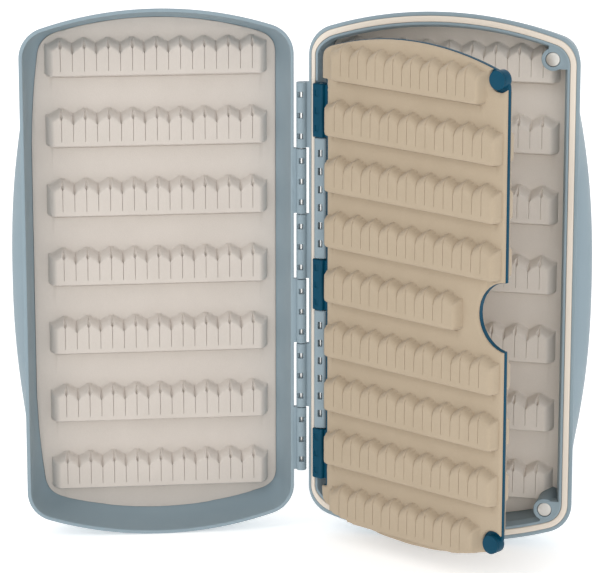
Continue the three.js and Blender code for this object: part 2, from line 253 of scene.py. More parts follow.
def cutter(name, centre, radius, span, body):
    # a round tool that cuts along y
    return slotCutter(name, centre, (radius, radius), radius, span, body)


# outlines seen from the open side: a tray, the leaf, and the floor inside a tray
trayForm = dict(
    left=2.6, right=101.5, halfLength=98.5, arcRadius=134.0, corner=11.5, gripHalf=63.8, gripPower=2.3)
leafForm = dict(left=2.0, right=87.2, halfLength=92.2, arcRadius=127.6, corner=6.5)
floorForm = dict(
    hinge=7.8, free=97.0, taper=0.0018, taperFrom=42.0, halfLength=92.9, arcRadius=128.4, corner=6.0)
ringCounts = dict(side=36, corner=16, end=72)


def wholeRing(upper):
    # an outline's upper half from the free side round to the hinge side, then the same mirrored below
    return np.concatenate([upper, upper[-2:0:-1] * (1, -1)])


def formRing(form, inset, hingeInset=None, swell=0.0):
    # straight sides, bowed ends and round corners drawn in by an inset, with its own inset along the hinge;
    # the free side swells by swell * (1 - |z / gripHalf| ** gripPower)
    hingeInset = inset if hingeInset is None else hingeInset
    middle = (form["left"] + form["right"]) / 2
    arcZ = form["halfLength"] - form["arcRadius"]
    cornerX = form["right"] - form["corner"]
    reach = form["arcRadius"] - form["corner"]
    cornerZ = arcZ + np.sqrt(reach**2 - (cornerX - middle) ** 2)
    tilt = np.arcsin((cornerX - middle) / reach)
    z = np.linspace(0, cornerZ, ringCounts["side"], endpoint=False)
    grip = swell * np.clip(1 - np.abs(z / form.get("gripHalf", 1)) ** form.get("gripPower", 1), 0, None)
    free = np.stack([form["right"] - inset + grip, z], axis=1)
    radius, arc = form["corner"] - inset, form["arcRadius"] - inset
    a = np.linspace(0, np.pi / 2 - tilt, ringCounts["corner"], endpoint=False)
    outer = np.stack([cornerX + radius * np.cos(a), cornerZ + radius * np.sin(a)], axis=1)
    b = np.linspace(np.pi / 2 - tilt, np.pi / 2 + tilt, ringCounts["end"], endpoint=False)
    end = np.stack([middle + arc * np.cos(b), arcZ + arc * np.sin(b)], axis=1)
    t = np.linspace(0, 1, ringCounts["corner"], endpoint=False)
    c = np.pi / 2 + tilt + t * (np.pi / 2 - tilt)
    across = form["corner"] - (inset + (hingeInset - inset) * t * t * (3 - 2 * t))
    inner = np.stack([2 * middle - cornerX + across * np.cos(c), cornerZ + radius * np.sin(c)], axis=1)
    back = np.linspace(cornerZ, 0, ringCounts["side"] + 1)
    hinge = np.stack([np.full(len(back), form["left"] + hingeInset), back], axis=1)
    return wholeRing(np.concatenate([free, outer, end, inner, hinge]))


def freeEdge(z):
    # the floor's free side: straight, then drawn in by taper * (|z| - taperFrom) squared
    past = np.clip(np.abs(z) - floorForm["taperFrom"], 0, None)
    return floorForm["free"] - floorForm["taper"] * past**2


def endEdge(x):
    # height of the floor's bowed end: arc centre + sqrt(R^2 - (x - middle)^2)
    middle = (trayForm["left"] + trayForm["right"]) / 2
    arc = floorForm["arcRadius"]
    return floorForm["halfLength"] - arc + np.sqrt(arc**2 - (x - middle) ** 2)


def bend(start, corner, end, count):
    # a quadratic curve (1-t)^2 a + 2t(1-t) b + t^2 c from one edge to the next
    t = np.linspace(0, 1, count, endpoint=False)[:, None]
    return (1 - t) ** 2 * start + 2 * t * (1 - t) * corner + t**2 * end


def floorRing(offset):
    # free side, bowed end and hinge side drawn in by an offset and joined by quadratic corners;
    # the height where the free side meets the end comes from repeating top = end(free(top))
    free = lambda z: freeEdge(z) - offset
    end = lambda x: endEdge(x) - offset
    hinge = floorForm["hinge"] + offset
    top = 85.0
    for _ in range(12):
        top = end(free(top))
    r = floorForm["corner"] - 0.6 * offset
    z = np.linspace(0, top - r, ringCounts["side"], endpoint=False)
    outerStart = np.array([free(top - r), top - r])
    outerEnd = np.array([free(top) - r, end(free(top) - r)])
    outer = bend(outerStart, np.array([free(top), top]), outerEnd, ringCounts["corner"])
    x = np.linspace(outerEnd[0], hinge + r, ringCounts["end"], endpoint=False)
    innerStart = np.array([hinge + r, end(hinge + r)])
    innerEnd = np.array([hinge, end(hinge) - r])
    inner = bend(innerStart, np.array([hinge, end(hinge)]), innerEnd, ringCounts["corner"])
    back = np.linspace(innerEnd[1], 0, ringCounts["side"] + 1)
    return wholeRing(np.concatenate([
        np.stack([free(z), z], axis=1), outer, np.stack([x, end(x)], axis=1), inner,
        np.stack([np.full(len(back), hinge), back], axis=1)]))


trayWall = dict(
    # (inset, how far the grip stands past the rim, depth) from the back forward to the rim
    outside=[(6.0, 1.0, 19.0), (5.3, 1.0, 18.94), (4.6, 1.2, 18.65), (4.05, 1.5, 18.1), (3.6, 2.0, 17.3),
             (3.2, 2.6, 16.3), (2.95, 3.1, 15.2), (2.7, 3.4, 13.8), (2.42, 3.5, 12.4), (2.15, 3.4, 11.0),
             (1.8, 3.0, 9.2), (1.45, 2.3, 7.5), (1.1, 1.3, 5.8), (0.8, 0.4, 4.4), (0.55, 0, 3.2),
             (0.2, 0, 1.2), (0.1, 0, 0.46), (0.16, 0, 0.24)],
    # (inset, inset along the hinge, depth) over the rim and down to where the cove starts
    lidRim=[(0.36, 0.36, 0.15), (1.1, 1.0, 0.15), (1.32, 1.18, 0.22), (1.44, 1.28, 0.42), (1.5, 1.34, 0.9)],
    # the base's rim has the seal's groove
    baseRim=[(0.36, 0.36, 0.15), (1.24, 0.84, 0.15), (1.42, 0.98, 0.2), (1.5, 1.05, 0.36), (1.5, 1.05, 2.15),
             (3.8, 2.6, 2.15), (3.8, 2.6, 0.34), (3.88, 2.67, 0.2), (4.02, 2.8, 0.15), (4.62, 3.3, 0.15),
             (4.8, 3.45, 0.24), (4.92, 3.55, 0.5), (5.9, 4.3, 2.9), (5.98, 4.38, 3.3), (5.8, 4.3, 3.9)],
    coveSteps=14, coveTurn=72, coveBow=0.65, floorAt=15.9, recess=17.2)


def trayShell(name, body, rim):
    # one closed wall of rings: back, outside, rim, cove, floor. In the cove depth follows sin a, and the
    # outline goes from rim to floor by coveBow (1 - cos a) + (1 - coveBow) sin a, each term scaled to end at 1
    rings = [formRing(trayForm, i, i, s + i if s else 0) for i, s, _ in trayWall["outside"]]
    depths = [d for _, _, d in trayWall["outside"]]
    rings += [formRing(trayForm, i, h) for i, h, _ in rim]
    depths += [d for _, _, d in rim]
    turn, bow = np.radians(trayWall["coveTurn"]), trayWall["coveBow"]
    a = np.linspace(0, turn, trayWall["coveSteps"] + 1)[1:]
    down = np.sin(a) / np.sin(turn)
    mix = bow * (1 - np.cos(a)) / (1 - np.cos(turn)) + (1 - bow) * down
    start, floor = rings[-1], floorRing(0)
    rings += [start + m * (floor - start) for m in mix]
    depths += list(depths[-1] + down * (trayWall["floorAt"] - depths[-1]))
    rings += [floorRing(0.02), floorRing(1.0)]
    depths += [trayWall["recess"] - 0.02, trayWall["recess"]]
    return closedLoft(name, stacked(rings, depths), body)


mainHinge = dict(
    top=71.0, bottom=-75.2, knuckles=6, radius=1.88, bore=0.88, gap=0.15, endWall=0.9, webReach=0.8,
    webDepth=(0.15, 2.6), windows=3, windowPitch=7.65, windowHalf=(1.15, 1.05), windowSpan=(-3, -0.55))


def knuckleSpans(first):
    # every second of the equal lengths between the hinge's ends, each short of its neighbours by a gap
    long = (mainHinge["top"] - mainHinge["bottom"]) / mainHinge["knuckles"]
    tops = mainHinge["top"] - long * np.arange(mainHinge["knuckles"])
    return [(top - long + mainHinge["gap"], top - mainHinge["gap"]) for top in tops[first::2]]


def windowRow(span, count, pitch):
    # heights of a row of windows, evenly spaced about the middle of a span
    return (span[0] + span[1]) / 2 + (np.arange(count) - (count - 1) / 2) * pitch


def addKnuckles(tray, body, first):
    # round barrels on the hinge's axis, each with a flat web to its tray, then a bore and rows of windows
    h = mainHinge
    near, deep = h["webDepth"]
    barrels, cuts = [], []
    for low, high in knuckleSpans(first):
        barrels.append(roundBar("barrel", (0, 0), h["radius"], (low, high), body))
        webFar = (trayForm["left"] + h["webReach"], deep)
        barrels.append(boxBlock("web", (0, near), webFar, 0.3, (low + 0.01, high - 0.01), body))
        for z in windowRow((low, high), h["windows"], h["windowPitch"]):
            cuts.append(slotCutter("window", (0, z), h["windowHalf"], 0.3, h["windowSpan"], body))
    joined(tray, barrels)
    boreSpan = (h["bottom"] + h["endWall"], h["top"] - h["endWall"])
    cuts.append(roundBar("bore", (0, 0), h["bore"], boreSpan, body))
    return without(tray, cuts)


print("building trays")
lidShell = addKnuckles(trayShell("lidTray", "lid", trayWall["lidRim"]), "lid", 1)
baseShell = addKnuckles(trayShell("baseTray", "base", trayWall["baseRim"]), "base", 0)

magnets = dict(
    x=91.4, heights=(83.0, -83.6), radius=2.55, post=4.1, postTop=0.32, postFoot=17.4, fill=(1.6, 3.4),
    fillDepth=4.4, pocketGap=0.14, pocketDepth=3.1, boss=3.35)


def addPosts(tray):
    # a round post under each magnet, a block to the corner trimmed to the rim's outline, and the pocket
    g = magnets
    beyondX, beyondZ = 104, 102  # outside the tray's corner
    for z in g["heights"]:
        side = np.sign(z)
        post = roundBar("post", (g["x"], z), g["post"], (g["postTop"], g["postFoot"]), "base", "y", 0.3)
        nearZ, farZ = sorted((z - g["fill"][1] * side, beyondZ * side))
        top = g["postTop"] - 0.12
        fill = boxBlock("fill", (g["x"] - g["fill"][0], nearZ), (beyondX, farZ), 0.4, (top, g["fillDepth"]),
                        "base", "y", 0.2)
        inside = closedLoft("inside", stacked([formRing(trayForm, 3.9, 2.7)] * 2, [-1, 18]), "base")
        combine(fill, inside, "INTERSECT")
        joined(tray, [post, fill])
    radius = g["radius"] + g["pocketGap"]
    pockets = [cutter("pocket", (g["x"], z), radius, (-1, g["pocketDepth"]), "base") for z in g["heights"]]
    return without(tray, pockets)


leafHinge = dict(
    x=7.6, y=-1.2, radius=2.6, clearance=0.3, bore=0.78, top=71.3, bottom=-77.3,
    strips=[(6.4, 51.1), (-57.8, -13.1)], stripX=(5.3, 10.0), stripY=(-2.9, 3.2), stripRound=1.3,
    windows=6, windowPitch=6.7, windowHalf=(0.85, 1.35), windowShift=0.1, windowSpan=(-4, -1.62))


def addLeafHinge(tray):
    # two pierced bars along the rim carry the leaf's pin, and a round channel between them clears its clips
    h = leafHinge
    at = (h["x"], h["y"])
    gap = h["clearance"]
    without(tray, [roundBar("room", at, h["radius"] + gap, (h["bottom"] - gap, h["top"] + gap), "base")])
    low, high = zip(h["stripX"], h["stripY"])
    strips = [boxBlock("strip", low, high, h["stripRound"], span, "base", "z", 0.35) for span in h["strips"]]
    joined(tray, strips)
    cuts = [roundBar("bore", at, h["bore"], (h["bottom"] - 0.2, h["top"] + 0.2), "base")]
    for span in h["strips"]:
        for z in windowRow(span, h["windows"], h["windowPitch"]):
            at = (h["x"] + h["windowShift"], z)
            cuts.append(slotCutter("window", at, h["windowHalf"], 0.25, h["windowSpan"], "base"))
    return without(tray, cuts)


addPosts(baseShell)
addLeafHinge(baseShell)
print("trays:", len(lidShell.data.polygons), len(baseShell.data.polygons), "faces")

sealBand = dict(outer=(1.56, 1.11), inner=(3.74, 2.54), front=-0.1, back=2.1, edge=0.4, steps=6)


def makeSeal():
    # a band between two outlines: at each step across, depth follows a flat top with quarter-round edges
    b = sealBand
    a = np.linspace(0, np.pi / 2, b["steps"])
    edge = b["edge"]
    outer, inner = np.array(b["outer"]), np.array(b["inner"])
    wide = inner[0] - outer[0]
    across = np.concatenate([[0], edge * (1 - np.cos(a)), wide - edge + edge * np.sin(a), [wide]])
    rise, fall = b["front"] + edge * (1 - np.sin(a)), b["front"] + edge * (1 - np.cos(a))
    depth = np.concatenate([[b["back"]], rise, fall, [b["back"]]])
    rings = [formRing(trayForm, *(outer + share * (inner - outer))) for share in across / wide]
    return ringTube("rimSeal", stacked(rings, depth), "base")


rimSeal = makeSeal()
print("seal made")

foamSharp = 50  # degrees past which an edge of the foam stays sharp
# foam mats: a sheet with rows of slots; heights in a row are measured up from its foot. Peak and valley are
# the zigzag roof's lines where it meets the sheet (Floor) and the row's face (Face), and where mouths start
trayMat = dict(
    face=15.5, back=16.7, ridge=4.5, slits=17, rows=[71.7 - 25.95 * k for k in range(7)],
    starts=[16.7] * 7, pitches=[4.34] * 7, rowSlits=[17] * 7, faceEnd=2.9, floorEnd=5.6, peakFloor=14.2,
    valleyFloor=11.7, peakFace=12.2, valleyFace=9.0, mouthPeak=10.7, mouthValley=8.9, opening=0.64,
    slitDeep=0.1, mouthDeep=0.3, edgeRound=0.7, round=0.6, step=0.34,
    gap=0.12, low=-94.5, high=94.5, edges=(7.0, 97.6))
leafMat = dict(
    face=-2.0, back=-0.86, ridge=3.8, slits=17, rows=[73.5 - 20.45 * k for k in range(9)],
    starts=[14.4] + [11.6] * 7 + [14.4], pitches=[4.1] + [4.25] * 7 + [4.1],
    rowSlits=[15, 17, 17, 17, 13, 17, 17, 17, 15],
    faceEnd=4.2, floorEnd=6.2, peakFloor=13.6, valleyFloor=11.2, peakFace=10.8, valleyFace=8.3,
    mouthPeak=10.3, mouthValley=8.2, opening=0.34, slitDeep=0.07, mouthDeep=0.14,
    edgeRound=1.0, round=1.0, step=0.48,
    low=-93.5, high=92.3, edges=(2.2, 87.2))
rowShape = dict(foot=0.32, cornerRadius=2.6, slitFoot=2.6, mouthLong=3.1, crease=0.24, below=0.6, above=15)
# where grid lines run: across a row from its left end, round each slit, to its right end; and up a row
leftEnd = [-1.42, -1.3, -1.2, -1.05, -0.9, -0.75, -0.62, -0.5]
slitOffsets = np.array(
    [-1.5, -1, -0.66, -0.45, -0.26, -0.12, -0.05, 0, 0.05, 0.12, 0.26, 0.45, 0.66, 1, 1.5, 2.17])
rightEnd = [0.62, 0.75, 0.9, 1.05, 1.2, 1.3, 1.42]
slitPitch = 4.34  # the pitch at which slitOffsets are true millimetres
footHeights = [-0.56, -0.42, -0.3, -0.12, -0.04, 0.02, 0.14, 0.3, 0.55, 1, 1.8, 2.5, 2.75, 3.4, 4.8, 6.4, 7.8]
roofSpan, topHeights = (8.4, 14.6), [15.2, 16.6]


def softStep(a, b, v):
    # 0 at a, 1 at b, and t^2 (3 - 2t) between
    t = np.clip((v - a) / (b - a), 0, 1)
    return t * t * (3 - 2 * t)


def rowBody(c, w, out, lastSlit, mat):
    # share of the ridge's height, c slots along and w up: the least of a roof that slopes between two zigzag
    # lines, the sloping ends, a steep foot and round lower corners, eased towards sqrt(1 - (1 - share)^2)
    r = rowShape
    zig = np.abs((c + 1) % 2 - 1)  # 0 at a peak, 1 at a valley
    zig = np.where((c < -1) | (c > lastSlit + 1), 1.0, zig)
    soft = np.sqrt(zig**2 + 0.012) - 0.1
    floorLine = mat["peakFloor"] + (mat["valleyFloor"] - mat["peakFloor"]) * soft
    faceLine = mat["peakFace"] + (mat["valleyFace"] - mat["peakFace"]) * zig
    roof = (floorLine - w) / (floorLine - faceLine)
    ends = (mat["floorEnd"] - out) / (mat["floorEnd"] - mat["faceEnd"])
    foot = 0.4 + 0.6 * w / r["foot"]
    q = r["cornerRadius"]
    corner = (q - np.hypot(np.clip(q - (mat["floorEnd"] - out), 0, None), np.clip(q - w, 0, None))) / 0.9
    share = np.minimum(np.minimum(roof, ends), np.minimum(foot, np.where(w < q, corner, 9)))
    share = np.clip(share, 0, 1)
    return (1 - mat["round"]) * share + mat["round"] * np.sqrt(1 - (1 - share) ** 2)


def slitCut(c, w, pitch, lastSlit, mat):
    # share taken away beside a slot: the deeper of a thin line and a mouth of half-width
    # opening * sin(pi s^0.72), s running from 0 to 1 up the mouth
    r = rowShape
    near = np.round(c)
    aside = np.abs(c - near) * pitch
    top = np.where(near % 2 == 0, mat["mouthPeak"], mat["mouthValley"])
    line = softStep(0.12, 0.05, aside) * softStep(r["slitFoot"], r["slitFoot"] + 0.2, w)
    s = np.clip((w - top) / r["mouthLong"], 0, 1)
    half = mat["opening"] * np.clip(np.sin(s**0.72 * np.pi), 0, 1) + 0.001
    mouth = np.where(half > 0.03, np.clip(1 - aside / half, 0, 1), 0) ** 0.7
    cut = np.clip(np.maximum(mat["slitDeep"] * line, mat["mouthDeep"] * mouth), 0, 1)
    return np.where((near >= 0) & (near <= lastSlit), cut, 0)


def rowHeight(u, w, pitch, lastSlit, mat):
    # share of the ridge's full height, u along a row from its first slit and w above its foot:
    # the row's body times what its slots leave, and below the foot a shallow crease, which is negative
    out = np.maximum(-u, u - lastSlit * pitch)
    inRow = softStep(mat["floorEnd"] - 1.2, mat["floorEnd"] - 2.6, out)
    crease = softStep(-0.56, -0.36, w) * softStep(0.02, -0.1, w) * inRow
    body = rowBody(u / pitch, w, out, lastSlit, mat)
    body = np.where(w < -0.001, -rowShape["crease"] / mat["ridge"] * crease, body)
    return body * (1 - slitCut(u / pitch, w, pitch, lastSlit, mat))


def matGrid(mat):
    # grid lines: columns x = start + pitch * c crowd round each slit, lines round each row's foot and roof;
    # from one row to the next start and pitch change evenly
    low, high, (leftX, rightX) = mat["low"], mat["high"], mat["edges"]
    slots = [k + slitOffsets / slitPitch for k in range(mat["slits"])]
    c = np.concatenate([leftEnd] + slots + [mat["slits"] - 1 + np.array(rightEnd)])
    rows = np.array(mat["rows"])[::-1]
    heights = np.concatenate([footHeights, np.arange(*roofSpan, mat["step"]), topHeights])
    z = np.concatenate([row + heights for row in rows])
    below, above = rows - rowShape["below"], rows + rowShape["above"]
    margins = [np.linspace(low, below[0], 4), np.linspace(above[-1], high, 5)]
    z = np.unique(np.round(np.concatenate([z[(z > low) & (z < high)]] + margins), 3))
    z = z[np.concatenate([[True], np.diff(z) > 0.03])]
    knots = np.stack([below, above], axis=1).ravel()
    first = np.interp(z, knots, np.repeat(mat["starts"][::-1], 2))
    pitch = np.interp(z, knots, np.repeat(mat["pitches"][::-1], 2))
    x = first[:, None] + pitch[:, None] * c[None, :]
    fade = np.linspace(0, 1, 7)
    left = leftX + fade[None, :-1] * (x[:, :1] - leftX)
    right = x[:, -1:] + fade[None, 1:] * (rightX - x[:, -1:])
    x = np.concatenate([left, x, right], axis=1)
    return x, np.repeat(z[:, None], x.shape[1], axis=1)


def matFront(mat, x, z, edge):
    # depth of the front: face - ridge * rise, rounded off near the outline by a quarter circle, and the
    # foam's slow unevenness 0.03 sin(0.21 x + 1.3 sin 0.06 z) sin(0.17 z + 0.05 x)
    rise = np.zeros_like(x)
    for row, first, pitch, slits in zip(mat["rows"], mat["starts"], mat["pitches"], mat["rowSlits"]):
        near = (z > row - rowShape["below"]) & (z < row + rowShape["above"])
        own = rowHeight(x - first, z - row, pitch, slits - 1, mat)
        rise = np.where(near, np.where(own < 0, own, np.maximum(rise, own)), rise)
    d = np.clip(1 - edge / mat["edgeRound"], 0, 1)
    swell = 0.03 * np.sin(x * 0.21 + 1.3 * np.sin(z * 0.06)) * np.sin(z * 0.17 + x * 0.05)
    roundOff = 0.7 * mat["edgeRound"] * (1 - np.sqrt(1 - d * d * 0.999))
    return mat["face"] - mat["ridge"] * rise * softStep(0, 0.9, edge) + roundOff + swell


def matBlock(name, mat, edgeDistance, body, flip=1):
    # the mat's front as a grid, with straight sides down to a flat back; flip -1 turns it to face back
    x, z = matGrid(mat)
    y = matFront(mat, x, z, edgeDistance(x, z))
    front = np.stack([x, y * flip, z], axis=-1).reshape(-1, 3)
    g = np.arange(x.size).reshape(x.shape)
    quads = np.stack([g[:-1, :-1], g[:-1, 1:], g[1:, 1:], g[1:, :-1]], axis=-1).reshape(-1, 4)
    rim = np.concatenate([g[0, :-1], g[:-1, -1], g[-1, :0:-1], g[:0:-1, 0]])
    behind = front[rim].copy()
    behind[:, 1] = mat["back"] * flip
    n, base = len(rim), len(front)
    i = np.arange(n)
    j = (i + 1) % n
    sides = np.stack([rim[j], rim[i], base + i, base + j], axis=1)
    fan = np.stack([base + j, base + i, np.full(n, base + n)], axis=1)
    points = np.concatenate([front, behind, behind.mean(axis=0, keepdims=True)])
    return solidMesh(name, points, [quads, sides, fan], body, foamSharp)


def trayEdge(x, z):
    # distance in from the floor's outline, the least over its four sides
    gap = trayMat["gap"]
    sides = np.minimum(x - floorForm["hinge"] - gap, freeEdge(z) - gap - x)
    return np.minimum(sides, endEdge(np.clip(x, 0, 104)) - gap - np.abs(z))


def makeTrayMat(name, body):
    # the block trimmed to the floor's outline, less a small gap
    block = matBlock(name, trayMat, trayEdge, body)
    trim = closedLoft("trim", stacked([floorRing(trayMat["gap"])] * 2, [5, 20]), body)
    return combine(block, trim, "INTERSECT", foamSharp)


def roundPosts(gap, span):
    # tools that clear both magnet posts
    radius = magnets["post"] + gap
    return [cutter("around", (magnets["x"], z), radius, span, "base") for z in magnets["heights"]]


print("building mats")
lidMat = makeTrayMat("lidMat", "lid")
baseMat = makeTrayMat("baseMat", "base")
without(baseMat, roundPosts(0.12, (0, 18)), foamSharp)

# the leaf, drawn in its own frame: x from its pin to its free edge, y to its back
leafShape = dict(
    centre=-0.6, half=0.8, edge=0.35, hingeEdge=3.5, hingeRoom=2.2, notch=(88.2, -0.7), notchRadius=12.5,
    magnetX=83.8, capFront=-3.4, capThick=0.7, bossGap=1.3,
    clipHalf=(2.45, 2.3), clipRadius=1.0, linkHalf=(2.4, 0.8), linkX=2.6,
    pockets=3, pocketPitch=6.4, pocketHalf=(0.95, 1.15), pocketDeep=0.3,
    matInset=0.18, backInset=0.8, matHingeGap=1.2, matCorner=(0, 0.6), backCorner=0.6, cornerHalf=9,
    cornerRound=1.5, roomSpan=(-12, 12), matSpan=(-13, 13))
lowerStrip, upperStrip = sorted(leafHinge["strips"])
clipSpans = [
    (upperStrip[1], leafHinge["top"]), (lowerStrip[1], upperStrip[0]), (leafHinge["bottom"], lowerStrip[0])]


def leafRing(inset):
    # the leaf's outline, its middle a little below the hinge's
    return formRing(leafForm, inset) + (0, leafShape["centre"])


def hingeRoom(reach):
    # a tool that clears the hinge edge from x = -6 to reach, over the hinge's length and a little more
    top, bottom = leafHinge["top"], leafHinge["bottom"]
    centre = ((reach - 6) / 2, (top + bottom) / 2)
    half = ((reach + 6) / 2, (top - bottom) / 2 + leafShape["hingeRoom"])
    return slotCutter("room", centre, half, 1.2, leafShape["roomSpan"], "leaf")


def notchCut(extra):
    # a round tool that cuts the finger notch
    radius = leafShape["notchRadius"] + extra
    return cutter("notch", leafShape["notch"], radius, leafShape["roomSpan"], "leaf")


def makeLeafFrame():
    # a thin plate drawn in along quarter circles at both faces, with a finger notch, three clips round the
    # pin that have a link to the plate and shallow recesses, and a bored boss for each magnet
    s = leafShape
    a = np.linspace(0, np.pi / 2, 5)
    edge = s["edge"]
    insets = np.concatenate([edge * (1 - np.sin(a)), edge * (1 - np.cos(a))])
    at = np.concatenate([-s["half"] + edge * (1 - np.cos(a)), s["half"] - edge + edge * np.sin(a)])
    plate = closedLoft("leafFrame", stacked([leafRing(i) for i in insets], at), "leaf")
    without(plate, [notchCut(0), hingeRoom(s["hingeEdge"])])
    pinSpan = (leafHinge["bottom"] - 1, leafHinge["top"] + 1)
    parts, cuts = [], [roundBar("bore", (0, 0), leafHinge["bore"], pinSpan, "leaf")]
    for low, high in clipSpans:
        span = (low + 0.3, high - 0.3)
        parts.append(roundedBlock("clip", (0, 0), s["clipHalf"], s["clipRadius"], span, "leaf", "z", 0.35))
        span = (low + 0.5, high - 0.5)
        parts.append(roundedBlock("link", (s["linkX"], 0), s["linkHalf"], 0.3, span, "leaf", "z", 0.2))
        recess = (-4, s["pocketDeep"] - s["clipHalf"][1])
        for z in windowRow((low, high), s["pockets"], s["pocketPitch"]):
            cuts.append(slotCutter("recess", (0, z), s["pocketHalf"], 0.3, recess, "leaf"))
    bossSpan = (s["capFront"] + s["capThick"] + 0.12, s["half"] - 0.05)
    boreSpan = (s["capFront"] - 1, 0.1)
    for z in magnets["heights"]:
        at = (s["magnetX"], z)
        parts.append(roundBar("boss", at, magnets["boss"], bossSpan, "leaf", "y", 0.15))
        cuts.append(cutter("pocket", at, magnets["radius"] + 0.1, boreSpan, "leaf"))
    joined(plate, parts)
    return without(plate, cuts)


def leafEdge(x, z):
    # distance in from the leaf's outline, the least over free edge, bowed ends, hinge edge, notch and bosses
    s = leafShape
    inset, extra = s["matInset"], s["hingeRoom"]
    middle = (leafForm["left"] + leafForm["right"]) / 2
    arc = leafForm["arcRadius"] - inset
    end = leafForm["halfLength"] - leafForm["arcRadius"] + np.sqrt(arc**2 - (np.clip(x, 0, 90) - middle) ** 2)
    besideHinge = (z < leafHinge["top"] + extra) & (z > leafHinge["bottom"] - extra)
    hinge = np.where(besideHinge, s["hingeEdge"] + s["matHingeGap"], leafForm["left"] + inset)
    sides = np.minimum(leafForm["right"] - inset - x, x - hinge)
    notch = np.hypot(x - s["notch"][0], z - s["notch"][1]) - s["notchRadius"] - inset
    bosses = [np.hypot(x - s["magnetX"], z - h) - magnets["boss"] - s["bossGap"] for h in magnets["heights"]]
    ends = end - np.abs(z - s["centre"])
    return np.minimum(np.minimum(sides, notch), np.minimum(ends, np.minimum(*bosses)))


def makeLeafMat(name, flip, inset, corner):
    # the block trimmed to the leaf's outline, cut back from notch, hinge, bosses and outer corners
    s = leafShape
    block = matBlock(name, leafMat, leafEdge, "leaf", flip)
    trim = closedLoft("trim", stacked([leafRing(inset)] * 2, [-14, 14]), "leaf")
    combine(block, trim, "INTERSECT", foamSharp)
    cuts = [notchCut(inset), hingeRoom(s["hingeEdge"] + s["matHingeGap"])]
    x, size, span = s["magnetX"], s["cornerHalf"], s["matSpan"]
    for z in magnets["heights"]:
        cuts.append(cutter("around", (x, z), magnets["boss"] + s["bossGap"], span, "leaf"))
        at = (x + size - corner[0], z + (size - corner[1]) * np.sign(z))
        cuts.append(slotCutter("corner", at, (size, size), s["cornerRound"], span, "leaf"))
    return without(block, cuts, foamSharp)


leafFrame = makeLeafFrame()
leafFrontMat = makeLeafMat("leafFrontMat", 1, leafShape["matInset"], leafShape["matCorner"])
backCorner = np.add(magnets["fill"], leafShape["backCorner"])
leafBackMat = makeLeafMat("leafBackMat", -1, leafShape["backInset"], backCorner)
print("mats:", [len(o.data.polygons) for o in (lidMat, baseMat, leafFrontMat, leafBackMat)], "faces")

# small round pieces, spans in the depth of their own body
smallParts = dict(
    capGap=0.02, capEdge=0.16, leafMagnet=(-2.5, -0.5), leafMagnetEdge=0.12, baseMagnet=(0.55, 2.6),
    baseMagnetEdge=0.18, mainPin=0.8, mainPinSpan=(-74.0, 69.8), leafPin=0.7, leafPinSpan=(-77.0, 71.0),
    pinEdge=0.2)


def disc(name, x, z, radius, span, body, edge):
    # a round disc standing along y with its edges rounded over
    return roundBar(name, (x, z), radius, span, body, "y", edge, 40)


def pin(name, x, y, radius, span):
    # a round bar along z with its edges rounded over
    return roundBar(name, (x, y), radius, span, "base", "z", smallParts["pinEdge"], 40)


def makeMagnet(name, x, z, span, body, edge):
    # a disc of the magnets' radius
    return disc(name, x, z, magnets["radius"], span, body, edge)


caps, leafMagnets, baseMagnets = [], [], []
for word, z in zip(("Upper", "Lower"), magnets["heights"]):
    p, x = smallParts, leafShape["magnetX"]
    capSpan = (leafShape["capFront"], leafShape["capFront"] + leafShape["capThick"])
    caps.append(disc("leafCap" + word, x, z, magnets["boss"] + p["capGap"], capSpan, "leaf", p["capEdge"]))
    leafMagnets.append(makeMagnet("leafMagnet" + word, x, z, p["leafMagnet"], "leaf", p["leafMagnetEdge"]))
    x = magnets["x"]
    baseMagnets.append(makeMagnet("baseMagnet" + word, x, z, p["baseMagnet"], "base", p["baseMagnetEdge"]))
mainPin = pin("mainPin", 0, 0, smallParts["mainPin"], smallParts["mainPinSpan"])
leafPin = pin("leafPin", leafHinge["x"], leafHinge["y"], smallParts["leafPin"], smallParts["leafPinSpan"])

glueSheet = dict(inset=1.8, depth=(16.78, 16.98), postGap=0.3)


def makeGlue(name, body):
    # the floor's outline drawn in, carried through the sheet's thickness
    return closedLoft(name, stacked([floorRing(glueSheet["inset"])] * 2, glueSheet["depth"]), body)


lidGlue = makeGlue("lidGlue", "lid")
baseGlue = without(makeGlue("baseGlue", "base"), roundPosts(glueSheet["postGap"], (10, 18)))
print("caps, magnets, pins and adhesive made")


class Link:
    # a socket that takes part in sums: each operator adds one Math node
    def __init__(self, finish, socket):
        self.finish, self.socket = finish, socket

    def math(self, operation, *values):
        # operation over the values in order
        return self.finish.node("ShaderNodeMath", dict(operation=operation), dict(enumerate(values)))

    def __add__(self, other):
        return self.math("ADD", self, other)

    def __radd__(self, other):
        return self.math("ADD", other, self)

    def __sub__(self, other):
        return self.math("SUBTRACT", self, other)

    def __rsub__(self, other):
        return self.math("SUBTRACT", other, self)

    def __mul__(self, other):
        return self.math("MULTIPLY", self, other)

    def __rmul__(self, other):
        return self.math("MULTIPLY", other, self)


class Finish:
    # a material and its node tree
    def __init__(self, name):
        self.material = bpy.data.materials.new(name)
        self.material.use_nodes = True
        self.tree = self.material.node_tree
        self.shader = self.tree.nodes["Principled BSDF"]

    def node(self, kind, settings=None, sockets=None, out=0):
        # any node: its settings first, then values or links of its sockets by name or number
        made = self.tree.nodes.new(kind)
        for key, value in (settings or {}).items():
            setattr(made, key, value)
        for key, value in (sockets or {}).items():
            self.feed(made.inputs[key], value)
        return Link(self, made.outputs[out])

    def feed(self, socket, value):
        # a link is joined to the socket, anything else becomes its value
        if isinstance(value, Link):
            self.tree.links.new(value.socket, socket)
        else:
            socket.default_value = value

    def surface(self, values):
        # the shader's own sockets, by name
        for key, value in values.items():
            self.feed(self.shader.inputs[key], value)
        return self.material


